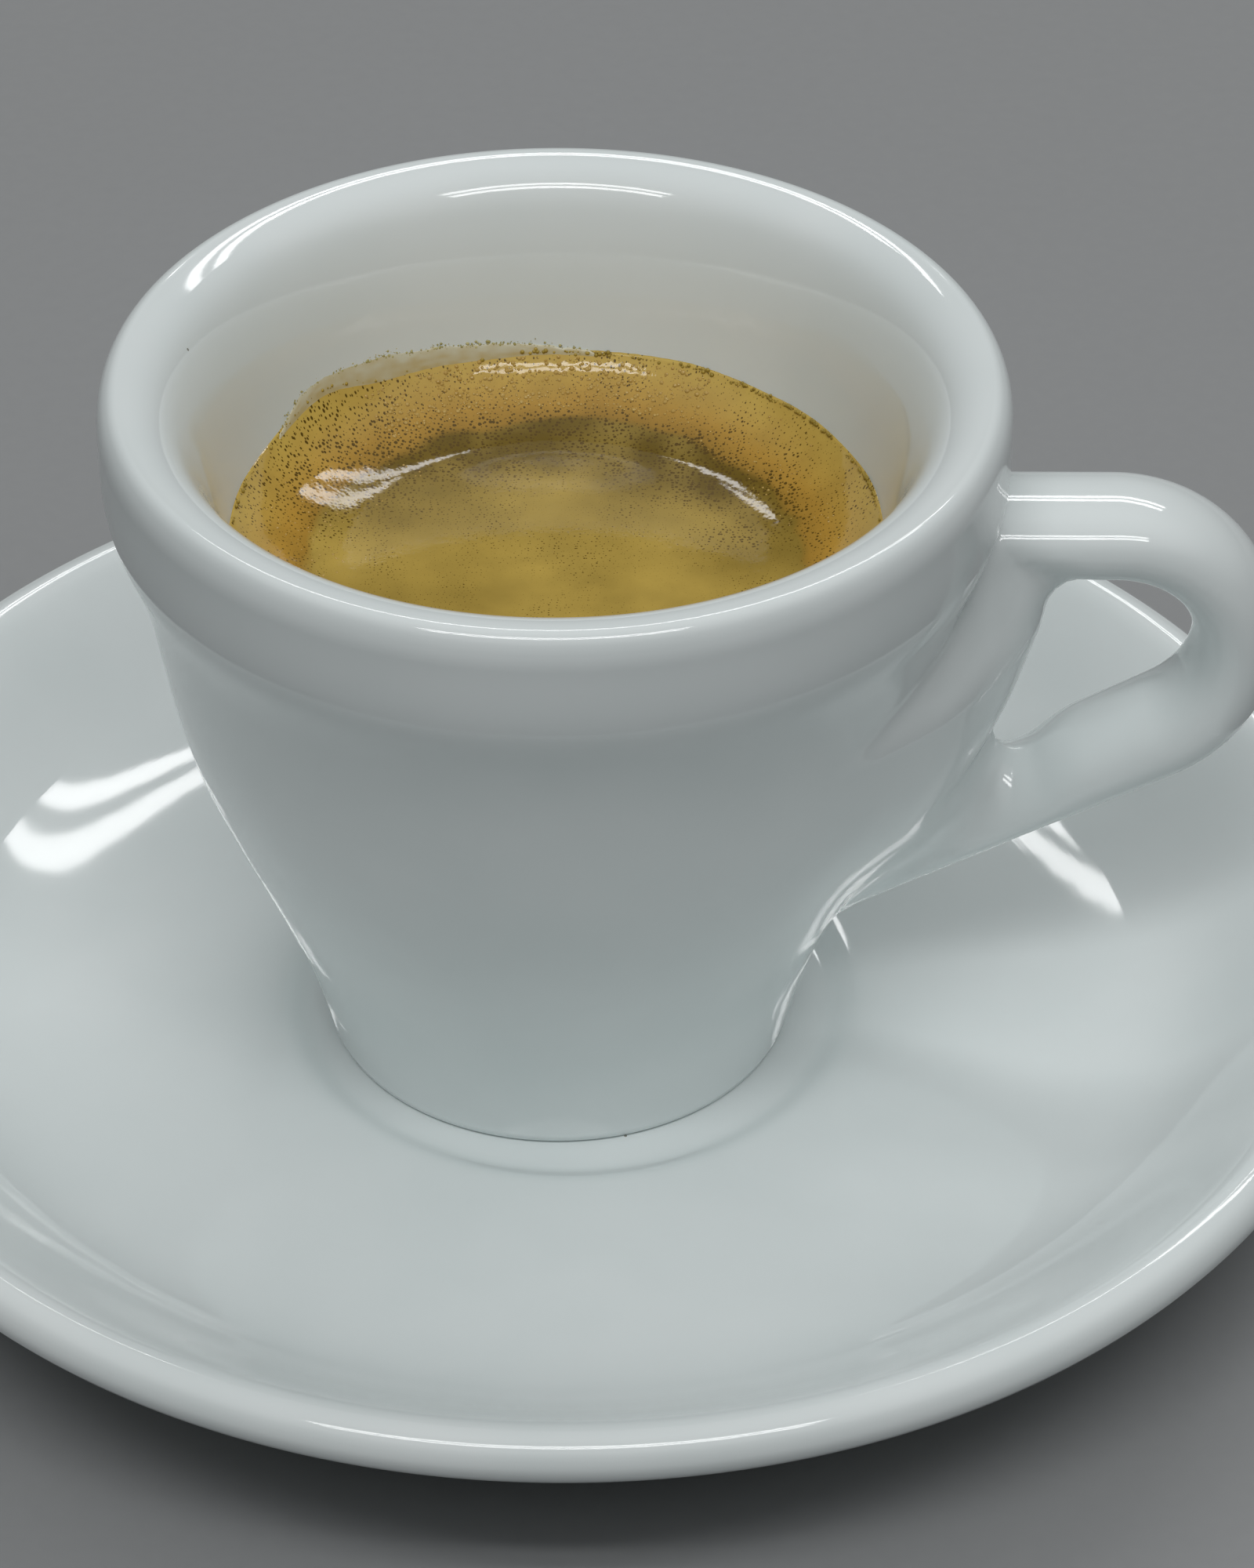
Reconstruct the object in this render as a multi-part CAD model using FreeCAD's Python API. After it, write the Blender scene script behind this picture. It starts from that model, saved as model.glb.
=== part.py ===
"""An espresso shot in its thick porcelain cup, standing on a saucer.

Millimetres, +Z up.  The origin is the middle of the saucer's foot, on the table,
and the cup's handle points along +X.  Three solids: saucer, cup and espresso.
"""
import FreeCAD, Part
import math
import os

V = FreeCAD.Vector

# ---- saucer ------------------------------------------------------------------
SAUCER_R = 60.8          # outermost radius, at the rolled rim
SAUCER_FOOT_R = 33.0     # middle of the foot ring
SAUCER_FOOT_W = 3.2      # width of the foot ring
SAUCER_HOLLOW = 2.0      # depth of the hollow inside the foot ring
SAUCER_WALL = 4.0        # thickness of the plate
SEAT_Z = 6.0             # height of the flat that the cup stands on
SEAT_CLEARANCE = 1.8     # flat left free around the cup's foot
WELL_SLOPE_W = 3.0       # width of the slope around the flat
WELL_DEPTH = 1.0         # how deep the flat lies below the plate
TURN_W = 13.8            # from the rim inwards to where the plate turns up
TURN_RISE = 2.4          # climb of the plate from the well to there
RIM_RISE = 11.5          # climb from the flat to the crest of the rim
RIM_T = 4.2              # thickness of the rim
RING_BEVEL = 0.6         # bevel of the foot ring's edges

# ---- cup ---------------------------------------------------------------------
CUP_SHIFT = V(-0.8, 0.7, 0)   # the cup stands a little off the saucer's middle
CUP_H = 57.0
FOOT_R = 17.8            # radius of the cup's foot
FOOT_ROUND = 0.7
HOLLOW_Z = 8.0           # height where the wall eases from the foot into a cone
HOLLOW = 0.3             # how far it lies inside a straight cone there
BULGE_Z = 31.0           # height where the wall is fullest
BULGE = 1.1              # how far it lies outside a straight cone there
LIP_R = 32.5             # outermost radius of the lip
LIP_T = 6.1              # width of the lip, from its band to the clear mouth
LIP_BAND = 9.6           # height of the thick band of the lip
LIP_STEP = 0.8           # how far the wall steps in under the band
LIP_DRAFT = 0.2          # narrowing of the band towards its underside
STEP_H = 0.9             # height of the step
CREST_IN = 1.5           # from the band inwards to the lip's highest line
CREST_DROP = 2.5         # height of the lip's outer rounding
MOUTH_DROP = 3.9         # height of the lip's inner rounding
FLOOR_T = 7.0            # thickness of the floor
FLOOR_R = 12.1           # radius of the inside at its floor
FLOOR_ROUND = 6.0        # radius between floor and inner wall

# ---- handle: an upright loop in the plane of the cup's axis --------------------
HANDLE_RUN = 7.9         # from the lip's band out to the middle of the round end
HANDLE_DROP = 0.2        # from the underside of the band to the top of the loop
HANDLE_BEND = 12.6       # outer radius of the round end
HANDLE_ROOT_Z = 7.5      # height where the lower arm's underside meets the wall
HANDLE_W = 8.8           # width across the loop
HANDLE_T = 7.0           # thickness of the loop in its plane
HANDLE_ROUND = 3.2       # rounding of its edges
HANDLE_SINK = 2.5        # how deep its root reaches into the wall
HOLE_GAP = 6.5           # from the wall to the hole
HOLE_LOW_ROUND = 1.7     # radius of the hole's lower corner
HOLE_TOP_ROUND = 3.0     # radius of its upper corner

# ---- espresso ----------------------------------------------------------------
CREMA_DROP = 17.0        # from the lip's crest down to the crema's flat middle
CREMA_CLIMB = 4.0        # how much higher the crema stands at the wall
CREMA_BAND = 7.0         # width of the climbing band along the wall


# ---- outlines ----------------------------------------------------------------
def xz(r, z):
    """A point of an upright outline: distance from the axis, and height."""
    return V(r, 0, z)


def line(a, b):
    return Part.makeLine(a, b)


def arc(a, middle, b):
    return Part.Arc(a, middle, b).toShape()


def polyline(points):
    """Straight edges from each point to the next."""
    return [line(a, b) for a, b in zip(points, points[1:])]


def spline(points, start, end):
    """A smooth curve through a few points, with its first and last direction."""
    curve = Part.BSplineCurve()
    curve.interpolate(Points=points, InitialTangent=start, FinalTangent=end)
    return curve.toShape()


def quarter_oval(side, top):
    """A quarter of an upright oval from its side point to its highest point."""
    centre = xz(top.x, side.z)
    if abs(side.x - top.x) >= top.z - side.z:
        oval = Part.Ellipse(side, top, centre)
    else:
        oval = Part.Ellipse(top, side, centre)
    first, last = sorted([oval.parameter(side), oval.parameter(top)])
    if last - first > math.pi:
        first, last = last, first + 2 * math.pi
    return oval.toShape(first, last)


def rounded(before, corner, after, radius):
    """The start, middle and end of an arc that rounds a corner."""
    u = (before - corner).normalize()
    w = (after - corner).normalize()
    half = u.getAngle(w) / 2
    reach = radius / math.tan(half)
    middle = corner + (u + w).normalize() * (radius / math.sin(half) - radius)
    return corner + u * reach, middle, corner + w * reach


def crossing(a, b, c, d):
    """Where the line through a and b meets the line through c and d."""
    u = b - a
    w = d - c
    along = ((c.x - a.x) * w.z - (c.z - a.z) * w.x) / (u.x * w.z - u.z * w.x)
    return a + u * along


def revolve(edges):
    """Turn a closed outline about the Z axis into a solid."""
    face = Part.Face(Part.Wire(Part.sortEdges(edges)[0]))
    return face.revolve(V(0, 0, 0), V(0, 0, 1), 360)


# ---- saucer ------------------------------------------------------------------
def saucer_top():
    """The upper side: flat, slope of the well, plate, turned-up edge, half the rim."""
    level = V(1, 0, 0)
    gentle = V(1, 0, 0.08)
    steep = V(1, 0, 1)
    flat_r = FOOT_R + SEAT_CLEARANCE
    plate_z = SEAT_Z + WELL_DEPTH
    flat = xz(flat_r, SEAT_Z)
    slope = xz(flat_r + WELL_SLOPE_W / 2, SEAT_Z + WELL_DEPTH / 2)
    well = xz(flat_r + WELL_SLOPE_W, plate_z)
    turn = xz(SAUCER_R - TURN_W, plate_z + TURN_RISE)
    crest = xz(SAUCER_R - RIM_T / 2, SEAT_Z + RIM_RISE)
    inner = crest + xz(-RIM_T / 2, -RIM_T / 4)
    return crest, [line(xz(0, SEAT_Z), flat), spline([flat, slope, well], level, gentle),
                   spline([well, turn, inner], gentle, steep),
                   spline([inner, crest], steep, level)]


def saucer_bottom(crest):
    """The lower side: half the rim, the underside of the plate and the foot ring."""
    outer = crest + xz(RIM_T / 2, -RIM_T / 2)
    under = outer + xz(-RIM_T / 2, -RIM_T)
    plate_z = SEAT_Z + WELL_DEPTH - SAUCER_WALL
    turn = xz(SAUCER_R - TURN_W, plate_z + TURN_RISE)
    ring_in = SAUCER_FOOT_R - SAUCER_FOOT_W / 2
    ring_out = SAUCER_FOOT_R + SAUCER_FOOT_W / 2
    ring = polyline([xz(ring_out, plate_z), xz(ring_out, RING_BEVEL), xz(ring_out - RING_BEVEL, 0),
                     xz(ring_in + RING_BEVEL, 0), xz(ring_in, RING_BEVEL),
                     xz(ring_in, SAUCER_HOLLOW), xz(0, SAUCER_HOLLOW), xz(0, SEAT_Z)])
    return [quarter_oval(outer, crest), spline([outer, under], V(0, 0, -1), V(-1, 0, -1)),
            spline([under, turn, xz(ring_out, plate_z)], V(-1, 0, -1), V(-1, 0, 0))] + ring


def make_saucer():
    """A plate with a well for the cup, a turned-up edge and a foot ring."""
    crest, top = saucer_top()
    return revolve(top + saucer_bottom(crest))


# ---- cup ---------------------------------------------------------------------
def mouth():
    """Where the straight inner wall ends and the lip's inner rounding starts."""
    return xz(LIP_R - LIP_T, CUP_H - MOUTH_DROP)


def cavity_point(z):
    """A point of the straight inner wall."""
    top = mouth()
    return xz(FLOOR_R + (top.x - FLOOR_R) * (z - FLOOR_T) / (top.z - FLOOR_T), z)


def cavity_edges(top_z):
    """The inside from the middle of the floor up its wall to a height."""
    middle = xz(0, FLOOR_T)
    a, b, c = rounded(middle, xz(FLOOR_R, FLOOR_T), mouth(), FLOOR_ROUND)
    return [line(middle, a), arc(a, b, c), line(c, cavity_point(top_z))]


def band_bottom():
    """Height of the underside of the lip's band."""
    return CUP_H - LIP_BAND


def wall_top():
    """The wall's highest point, under the step of the lip."""
    return xz(LIP_R - LIP_STEP, band_bottom() - STEP_H)


def wall_point(z, outwards=0.0):
    """A point of the straight cone from foot to lip, moved outwards."""
    top = wall_top()
    return xz(FOOT_R + (top.x - FOOT_R) * z / top.z + outwards, z)


def make_body():
    """The cup without its handle: one section turned about the axis."""
    crest = xz(LIP_R - CREST_IN, CUP_H)
    shoulder = xz(LIP_R, CUP_H - CREST_DROP)
    band_low = xz(LIP_R - LIP_DRAFT, band_bottom())
    steep = V(0.12, 0, 1)
    foot = rounded(xz(0, 0), xz(FOOT_R, 0), wall_point(HOLLOW_Z), FOOT_ROUND)
    foot_side = foot[2]
    wall = spline([foot_side, wall_point(HOLLOW_Z, -HOLLOW), wall_point(BULGE_Z, BULGE),
                   wall_top()], V(0.2, 0, 1), steep)
    step = spline([wall_top(), (wall_top() + band_low) * 0.5, band_low], steep, steep)
    return revolve(cavity_edges(mouth().z) + [
        quarter_oval(mouth(), crest), quarter_oval(shoulder, crest), line(shoulder, band_low),
        step, wall, arc(*foot), line(foot[0], xz(0, 0)), line(xz(0, 0), xz(0, FLOOR_T))])


# ---- handle ------------------------------------------------------------------
def on_circle(centre, radius, angle):
    return centre + xz(math.cos(angle), math.sin(angle)) * radius


def bend_arc(centre, radius, low):
    """The loop's round end, from its top to where the lower arm leaves it."""
    return arc(on_circle(centre, radius, math.pi / 2), on_circle(centre, radius, low / 2),
               on_circle(centre, radius, low))


def handle_outlines():
    """The loop's outer outline, and its drop-shaped hole beside the cup's wall."""
    top_z = band_bottom() - HANDLE_DROP
    centre = xz(LIP_R + HANDLE_RUN, top_z - HANDLE_BEND)
    root = wall_point(HANDLE_ROOT_Z, -HOLLOW)
    to_root = root - centre
    low = math.atan2(to_root.z, to_root.x) + math.acos(HANDLE_BEND / to_root.Length)
    leave = on_circle(centre, HANDLE_BEND, low)
    arm = (root - leave).normalize()
    sunk_root = root + arm * HANDLE_SINK
    sunk_top = xz(wall_top().x - HANDLE_SINK, top_z)
    outer = Part.Wire([line(sunk_top, on_circle(centre, HANDLE_BEND, math.pi / 2)),
                       bend_arc(centre, HANDLE_BEND, low), line(leave, sunk_root),
                       line(sunk_root, sunk_top)])

    inside = HANDLE_BEND - HANDLE_T
    hole_top = on_circle(centre, inside, math.pi / 2)
    hole_low = on_circle(centre, inside, low)
    beside = [wall_point(BULGE_Z, BULGE + HOLE_GAP), wall_point(wall_top().z, HOLE_GAP)]
    corner_top = crossing(beside[0], beside[1], hole_top, hole_top + V(1, 0, 0))
    corner_low = crossing(beside[0], beside[1], hole_low, hole_low + arm)
    a = rounded(hole_top, corner_top, corner_low, HOLE_TOP_ROUND)
    b = rounded(corner_top, corner_low, hole_low, HOLE_LOW_ROUND)
    hole = Part.Wire([line(hole_top, a[0]), arc(*a), line(a[2], b[0]), arc(*b),
                      line(b[2], hole_low), bend_arc(centre, inside, low)])
    return outer, hole


def long_edges(loop):
    """The edges along the loop's two flat sides, without its end inside the wall."""
    return [edge for edge in loop.Edges if edge.BoundBox.YLength < HANDLE_W / 2
            and edge.BoundBox.XMax > wall_top().x]


def make_handle():
    """The loop as a plate with a hole, its edges rounded towards an oval section."""
    across = V(0, HANDLE_W, 0)
    outer, hole = [Part.Face(wire).extrude(across) for wire in handle_outlines()]
    loop = outer.cut(hole)
    loop.translate(V(0, -HANDLE_W / 2, 0))
    return loop.makeFillet(min(HANDLE_ROUND, HANDLE_T * 0.46, HANDLE_W * 0.46), long_edges(loop))


def make_cup():
    """Body and handle in one piece."""
    return make_body().fuse(make_handle()).removeSplitter()


# ---- espresso ----------------------------------------------------------------
def make_espresso():
    """The drink from the cup's floor up to its crema, which climbs at the wall."""
    level = CUP_H - CREMA_DROP
    edge = cavity_point(level + CREMA_CLIMB)
    flat = xz(edge.x - CREMA_BAND, level)
    surface = spline([edge, flat], V(-0.55, 0, -0.75), V(-1, 0, 0))
    return revolve(cavity_edges(edge.z) + [surface, line(flat, xz(0, level)),
                                           line(xz(0, level), xz(0, FLOOR_T))])


# ---- the files ---------------------------------------------------------------
def write(name, shape, place):
    """Put a piece in its place and write it as its own file."""
    shape.translate(place)
    shape.exportStep("parts/" + name + ".step")
    print(name, "solids", len(shape.Solids), "valid", shape.isValid(), "mm3", round(shape.Volume))


def main():
    os.makedirs("parts", exist_ok=True)
    on_saucer = CUP_SHIFT + V(0, 0, SEAT_Z)
    write("saucer", make_saucer(), V(0, 0, 0))
    write("cup", make_cup(), on_saucer)
    write("espresso", make_espresso(), on_saucer)


main()
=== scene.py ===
# %% [markdown]
# # An espresso in its porcelain cup and saucer
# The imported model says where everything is: a saucer, a cup standing on it and the drink inside.
# It is loaded first and never moved.  Every shape below is worked out in millimetres in the cup's or
# the saucer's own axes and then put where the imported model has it.

import math

import bpy
import numpy as np
from mathutils import Matrix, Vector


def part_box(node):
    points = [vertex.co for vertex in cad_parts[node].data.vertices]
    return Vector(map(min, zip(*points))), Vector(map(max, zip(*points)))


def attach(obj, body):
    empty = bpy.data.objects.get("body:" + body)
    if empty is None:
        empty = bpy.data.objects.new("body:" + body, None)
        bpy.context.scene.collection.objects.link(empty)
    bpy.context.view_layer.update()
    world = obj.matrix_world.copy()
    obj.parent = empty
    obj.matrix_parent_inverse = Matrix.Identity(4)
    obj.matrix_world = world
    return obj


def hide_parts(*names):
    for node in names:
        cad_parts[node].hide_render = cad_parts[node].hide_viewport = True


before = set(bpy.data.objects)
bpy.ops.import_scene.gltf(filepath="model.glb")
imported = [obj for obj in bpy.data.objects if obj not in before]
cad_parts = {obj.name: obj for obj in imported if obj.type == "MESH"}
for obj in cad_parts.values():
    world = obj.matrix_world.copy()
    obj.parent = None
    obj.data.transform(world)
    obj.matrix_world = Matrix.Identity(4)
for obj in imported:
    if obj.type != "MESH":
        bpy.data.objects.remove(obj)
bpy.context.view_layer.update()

# %% Where the cup stands
MM = 0.001
TAU = 2 * math.pi

saucer_low, saucer_high = [np.array(corner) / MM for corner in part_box("saucer")]
cup_low, cup_high = [np.array(corner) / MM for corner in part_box("cup")]
SAUCER_R = saucer_high[0]
SEAT_Z = cup_low[2]
CUP_H = cup_high[2] - cup_low[2]
LIP_R = (cup_high[1] - cup_low[1]) / 2
CUP_AT = np.array([cup_low[0] + LIP_R, cup_low[1] + LIP_R, SEAT_Z])
print("saucer radius", SAUCER_R, "cup height", CUP_H, "lip radius", LIP_R, "cup at", CUP_AT)

# %% [markdown]
# ## Colours and nodes
# Colours are written as people write them, in sRGB hex, and the shaders want them linear, so one
# function turns them.  Another one adds a node with its settings and links, which keeps every material
# down to a few readable lines.


# %% Helpers for materials
def colour(hex_code):
    """sRGB hex to linear RGBA: each channel c becomes c/12.92, or ((c+0.055)/1.055)^2.4 above 0.04045."""
    c = np.array([int(hex_code[i:i + 2], 16) for i in (1, 3, 5)]) / 255
    linear = np.where(c <= 0.04045, c / 12.92, ((c + 0.055) / 1.055) ** 2.4)
    return (*linear.tolist(), 1.0)


def add(tree, kind, links=(), inputs=(), **settings):
    """Add a node, set its properties, its input values and the links into its inputs."""
    node = tree.nodes.new("ShaderNode" + kind)
    for name, value in settings.items():
        setattr(node, name, value)
    for name, value in dict(inputs).items():
        node.inputs[name].default_value = value
    for name, source in dict(links).items():
        tree.links.new(source, node.inputs[name])
    return node


def new_material(name):
    """An empty material: its node tree, its surface shader and its place in object coordinates."""
    material = bpy.data.materials.new(name)
    material.use_nodes = True
    tree = material.node_tree
    shader = tree.nodes["Principled BSDF"]
    place = add(tree, "TexCoord").outputs["Object"]
    print("material", name)
    return material, tree, shader, place


def per_mm(size_mm):
    """The scale that makes one unit of a texture as long as a size in millimetres."""
    return 1 / (size_mm * MM)


# %% [markdown]
# ## Meshes from arrays
# A surface here is an array of points, ring after ring, that numpy works out in one go.  One function
# joins the rings with four-sided faces, closes each ring and caps an end that lies on the axis, so no
# seam or pole is left open.


# %% Helpers for meshes
def piece_from(name, points, faces, material, replaces=()):
    """Put points in millimetres and faces into a smooth mesh object that rides on the one body."""
    mesh = bpy.data.meshes.new(name)
    mesh.from_pydata((points * MM).tolist(), [], faces)
    mesh.shade_smooth()
    mesh.materials.append(material)
    piece = bpy.data.objects.new(name, mesh)
    bpy.context.scene.collection.objects.link(piece)
    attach(piece, "root")
    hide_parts(*replaces)
    print(name, "points", len(mesh.vertices), "faces", len(mesh.polygons))
    return piece


def ring_faces(rings, around):
    """Quads between neighbouring rings: ring i, step j meets ring i+1 and step j+1, steps wrapping round."""
    i, j = np.meshgrid(np.arange(rings - 1), np.arange(around), indexing="ij")
    k = (j + 1) % around
    return np.stack([i * around + j, i * around + k, (i + 1) * around + k, (i + 1) * around + j], -1)


def cap_faces(pole, start, around, flip):
    """Triangles from one point on the axis to each step of the ring that starts at an index."""
    j = np.arange(around)
    a, b = start + j, start + (j + 1) % around
    if flip:
        a, b = b, a
    return np.stack([np.full(around, pole), a, b], -1)


def turned(r, z, around):
    """A profile turned about the axis: point (r, z) goes to (r cos t, r sin t, z) for each angle t."""
    t = np.arange(around) * TAU / around
    return np.stack([r[:, None] * np.cos(t), r[:, None] * np.sin(t), z[:, None] + 0 * t], -1)


def closed_turning(body, first_pole, last_pole):
    """Points and faces of a turned surface whose two ends are closed by points on the axis."""
    rings, around = body.shape[:2]
    points = np.vstack([body.reshape(-1, 3), first_pole, last_pole])
    count = rings * around
    faces = ring_faces(rings, around).reshape(-1, 4).tolist()
    faces += cap_faces(count, 0, around, True).tolist()
    faces += cap_faces(count + 1, count - around, around, False).tolist()
    return points, faces


def add_attribute(piece, name, kind, values):
    """Store one number or one vector for each vertex, for a material to read."""
    field = "vector" if kind == "FLOAT_VECTOR" else "value"
    attribute = piece.data.attributes.new(name, kind, "POINT")
    attribute.data.foreach_set(field, np.ascontiguousarray(values, np.float32).ravel())


def add_turned(piece, points, length):
    """Store where on the wheel each point is: its direction from the axis and its length along the wall."""
    r = np.hypot(points[:, 0], points[:, 1]).clip(1e-6)
    add_attribute(piece, "turned", "FLOAT_VECTOR", np.stack([points[:, 0] / r, points[:, 1] / r, length], -1))


# %% [markdown]
# ## Curves for the outlines
# Outlines of thrown and cast ware are a few points joined by curves that never kink.  A cubic through
# the points with matching curvature does the long sweeps, and quarter ovals do the rolled edges.


# %% Helpers for outlines
def unit(v):
    """The vector divided by its own length."""
    return np.array(v, float) / np.linalg.norm(v)


def sweep(points, start, end, count=60):
    """A cubic through points, by chord length, whose slopes make second derivatives agree at each point."""
    p = np.array(points, float)
    h = np.linalg.norm(np.diff(p, axis=0), axis=1)
    n = len(p)
    system = np.eye(n)
    slopes = np.zeros_like(p)
    slopes[0], slopes[-1] = unit(start), unit(end)
    for i in range(1, n - 1):
        system[i, i - 1:i + 2] = [h[i], 2 * (h[i - 1] + h[i]), h[i - 1]]
        slopes[i] = 3 * (h[i] * (p[i] - p[i - 1]) / h[i - 1] + h[i - 1] * (p[i + 1] - p[i]) / h[i])
    slopes = np.linalg.solve(system, slopes)
    t = np.linspace(0, 1, count, endpoint=False)[:, None]
    runs = [p[i] * (2 * t ** 3 - 3 * t ** 2 + 1) + p[i + 1] * (3 * t ** 2 - 2 * t ** 3)
            + h[i] * (slopes[i] * (t ** 3 - 2 * t ** 2 + t) + slopes[i + 1] * (t ** 3 - t ** 2))
            for i in range(n - 1)]
    return np.vstack(runs)


def quarter_oval(side, top, count=40):
    """A quarter oval from its side point up to its top: side + (top - side) times (1 - cos, sin)."""
    t = np.linspace(0, math.pi / 2, count, endpoint=False)
    side, top = np.array(side, float), np.array(top, float)
    return np.stack([side[0] + (top[0] - side[0]) * (1 - np.cos(t)),
                     side[1] + (top[1] - side[1]) * np.sin(t)], -1)


def straight(a, b, count=1):
    """Points from a towards b, without b itself."""
    t = np.arange(count)[:, None] / count
    return np.array(a, float) * (1 - t) + np.array(b, float) * t


def bow(centre, radius, start, end, count=40):
    """An arc from one angle to another, without its last point."""
    t = start + (end - start) * np.arange(count) / count
    return np.stack([centre[0] + radius * np.cos(t), centre[1] + radius * np.sin(t)], -1)


def rounded(before, corner, after, radius, count=16):
    """An arc that rounds a corner: it touches both sides at radius / tan(half the corner's angle)."""
    u, w = unit(np.subtract(before, corner)), unit(np.subtract(after, corner))
    half = math.acos(np.clip(u @ w, -1, 1)) / 2
    centre = np.array(corner) + unit(u + w) * radius / math.sin(half)
    a = np.array(corner) + u * radius / math.tan(half) - centre
    b = np.array(corner) + w * radius / math.tan(half) - centre
    turn = math.atan2(a[0] * b[1] - a[1] * b[0], a @ b)
    start = math.atan2(a[1], a[0])
    return bow(centre, radius, start, start + turn * (count + 1) / count, count + 1)


def evenly(outline, spacing):
    """The same outline with points at even steps along its length, both ends kept."""
    length = np.r_[0, np.cumsum(np.linalg.norm(np.diff(outline, axis=0), axis=1))]
    at = np.linspace(0, length[-1], max(2, round(length[-1] / spacing)))
    return np.stack([np.interp(at, length, outline[:, i]) for i in (0, 1)], -1), at


# %% [markdown]
# ## The camera
# It looks down on the cup from the front with a long lens, as for a product shot, so the rims are
# gentle ovals.  A short lens from nearer by would widen the lip against the foot.  Its place is given
# in millimetres from the middle of the saucer's foot, and its angles in radians.

# %% Camera
LENS_MM = 112.79
SENSOR_MM = 36
LOOK_DOWN = 0.657037
LEAN = 0.00387
CAMERA_AT = (4.406, -292.059, 252.108)

camera_data = bpy.data.cameras.new("camera")
camera_data.lens = LENS_MM
camera_data.sensor_width = SENSOR_MM
camera = bpy.data.objects.new("camera", camera_data)
camera.location = [v * MM for v in CAMERA_AT]
camera.rotation_mode = "XYZ"
camera.rotation_euler = (math.pi / 2 - LOOK_DOWN, 0, 0)
camera.rotation_euler.rotate_axis("Z", LEAN)
camera_data.clip_start = 0.01
bpy.context.scene.collection.objects.link(camera)
bpy.context.scene.camera = camera
bpy.context.scene.view_settings.view_transform = "Standard"
print("camera looks down", round(math.degrees(LOOK_DOWN), 1), "degrees")

# %% [markdown]
# ## The floor
# The ware stands on a matt grey card.  A paint of one colour would do, but the faint mottle of paper
# fibre keeps it from looking empty.  Being matt, it takes soft shadows and mirrors nothing.

# %% Floor
FLOOR_HALF = 3000
FIBRE_CLUMP = 1.5


def make_floor():
    """A square card in the plane z = 0, far larger than the ware."""
    material, tree, shader, place = new_material("matt_grey_card")
    fibre = add(tree, "TexNoise", {"Vector": place}, {"Scale": per_mm(FIBRE_CLUMP), "Detail": 3.0})
    tint = add(tree, "ValToRGB", {"Fac": fibre.outputs["Fac"]})
    tint.color_ramp.elements[0].color = colour("#8F9192")
    tint.color_ramp.elements[1].color = colour("#939596")
    tree.links.new(tint.outputs["Color"], shader.inputs["Base Color"])
    shader.inputs["Roughness"].default_value = 0.75
    shader.inputs["Specular IOR Level"].default_value = 0.25
    mesh = bpy.data.meshes.new("floor")
    half = FLOOR_HALF * MM
    mesh.from_pydata([(-half, -half, 0), (half, -half, 0), (half, half, 0), (-half, half, 0)], [],
                     [(0, 1, 2, 3)])
    mesh.materials.append(material)
    floor = bpy.data.objects.new("floor", mesh)
    bpy.context.scene.collection.objects.link(floor)


make_floor()

# %% [markdown]
# ## The lights
# Two pairs of long tubes light the cup, one pair behind it and one high in front.  They draw the paired
# bright lines on lip, handle and saucer that tell the eye how smooth the glaze is.  Glowing meshes could
# do the same, but flat area lights give less noise.

# %% Lights
LIGHT_AWAY = 1.5
LIGHT_AIM = np.array([0, 0, 0.03])


def add_light(name, up, round_to, wide, high, radiance):
    """A flat light facing the cup, all in degrees: how high, how far round from the back, and its size."""
    e, a = math.radians(up), math.radians(round_to)
    normal = np.array([math.sin(a) * math.cos(e), math.cos(a) * math.cos(e), math.sin(e)])
    across = np.array([math.cos(a), -math.sin(a), 0])
    data = bpy.data.lights.new(name, "AREA")
    data.shape = "RECTANGLE"
    data.size = 2 * LIGHT_AWAY * math.tan(math.radians(wide / 2))
    data.size_y = 2 * LIGHT_AWAY * math.tan(math.radians(high / 2))
    data.energy = radiance * math.pi * data.size * data.size_y
    light = bpy.data.objects.new(name, data)
    light.location = normal * LIGHT_AWAY + LIGHT_AIM
    turn = np.stack([across, np.cross(normal, across), normal], 1)
    light.rotation_euler = Matrix(turn.tolist()).to_euler()
    bpy.context.scene.collection.objects.link(light)
    print("light", name, "metres", round(data.size, 3), "by", round(data.size_y, 3))


add_light("back_tube_low", 45.8, 10, 42, 3.0, 9.0)
add_light("back_tube_high", 51.0, 12, 40, 3.0, 10.0)
add_light("front_tube_low", 60, 180, 44, 3.5, 11.0)
add_light("front_tube_high", 66, 180, 44, 3.5, 10.0)


# %% [markdown]
# Everything between the bright lines is lit by one wide glow, high up in front.  The edges of a big
# softbox would show in the glaze, so the room itself glows there and fades out smoothly.

# %% Soft light
GLOW = 0.76
GLOW_UP = math.radians(58)
GLOW_SIDE = 0.06


def make_room():
    """A dark room with one wide soft glow overhead in front: radiance eases with direction and height."""
    world = bpy.data.worlds.new("room")
    world.use_nodes = True
    tree = world.node_tree
    way = add(tree, "TexCoord").outputs["Generated"]
    middle = (GLOW_SIDE, -math.cos(GLOW_UP), math.sin(GLOW_UP))
    near = add(tree, "VectorMath", {0: way}, {1: middle}, operation="DOT_PRODUCT")
    part = add(tree, "MapRange", {"Value": near.outputs["Value"]}, {"From Min": 0.15, "From Max": 0.9},
               interpolation_type="SMOOTHSTEP")
    height = add(tree, "SeparateXYZ", {"Vector": way})
    above = add(tree, "MapRange", {"Value": height.outputs["Z"]}, {"From Min": 0.42, "From Max": 0.78},
                interpolation_type="SMOOTHSTEP")
    both = add(tree, "Math", {0: part.outputs["Result"], 1: above.outputs["Result"]}, operation="MULTIPLY")
    power = add(tree, "Math", {0: both.outputs[0]}, {1: GLOW}, operation="MULTIPLY")
    background = tree.nodes["Background"]
    background.inputs["Color"].default_value = colour("#FFFFFF")
    tree.links.new(power.outputs[0], background.inputs["Strength"])
    return world


bpy.context.scene.world = make_room()

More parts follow.
